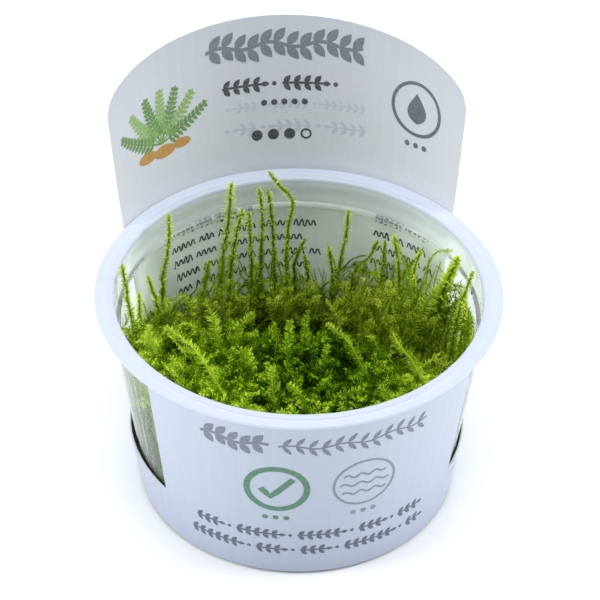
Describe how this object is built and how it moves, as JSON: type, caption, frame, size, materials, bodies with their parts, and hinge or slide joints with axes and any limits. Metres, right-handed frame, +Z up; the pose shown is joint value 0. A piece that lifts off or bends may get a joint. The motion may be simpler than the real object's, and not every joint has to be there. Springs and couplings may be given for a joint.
{
  "type": "tissue-culture feather-moss in its cup",
  "caption": "Feather-moss grown in tissue culture: a dense green cushion with tall feathery shoots in an open translucent cup, in a card sleeve with an arched back panel and side windows.",
  "frame": {"origin": "on the cup's axis, on the flat underside of its base", "axes": "+Z up; the front of the card sleeve faces -Y and its tall back panel stands at +Y; +X is to the right of someone who looks at the front"},
  "size_m": [0.1, 0.1091, 0.0986],
  "materials": {
    "translucent_polypropylene": "satin",
    "printed_card": "satin",
    "feather_moss": "matte"
  },
  "bodies": {
    "root": {"cup": "translucent_polypropylene", "label_sleeve": "printed_card", "moss_cushion": "feather_moss", "shoot_back_broad": "feather_moss", "shoot_back_broad_twin": "feather_moss", "shoot_back_slim": "feather_moss", "shoot_back_pair_left": "feather_moss", "shoot_back_pair_right": "feather_moss", "shoot_back_hooked": "feather_moss", "shoot_back_low_left": "feather_moss", "shoot_back_low_middle": "feather_moss", "shoot_back_low_branch": "feather_moss", "shoot_right_back_upright": "feather_moss", "shoot_right_back_short": "feather_moss", "shoot_right_back_arched": "feather_moss", "shoot_right_back_slim": "feather_moss", "shoot_right_plume": "feather_moss", "shoot_right_fan": "feather_moss", "shoot_right_broad": "feather_moss", "shoot_right_rim": "feather_moss", "shoot_right_edge": "feather_moss", "shoot_left_tall": "feather_moss", "shoot_left_slim": "feather_moss", "shoot_left_rim": "feather_moss", "shoot_left_short": "feather_moss"}
  },
  "joints": []
}
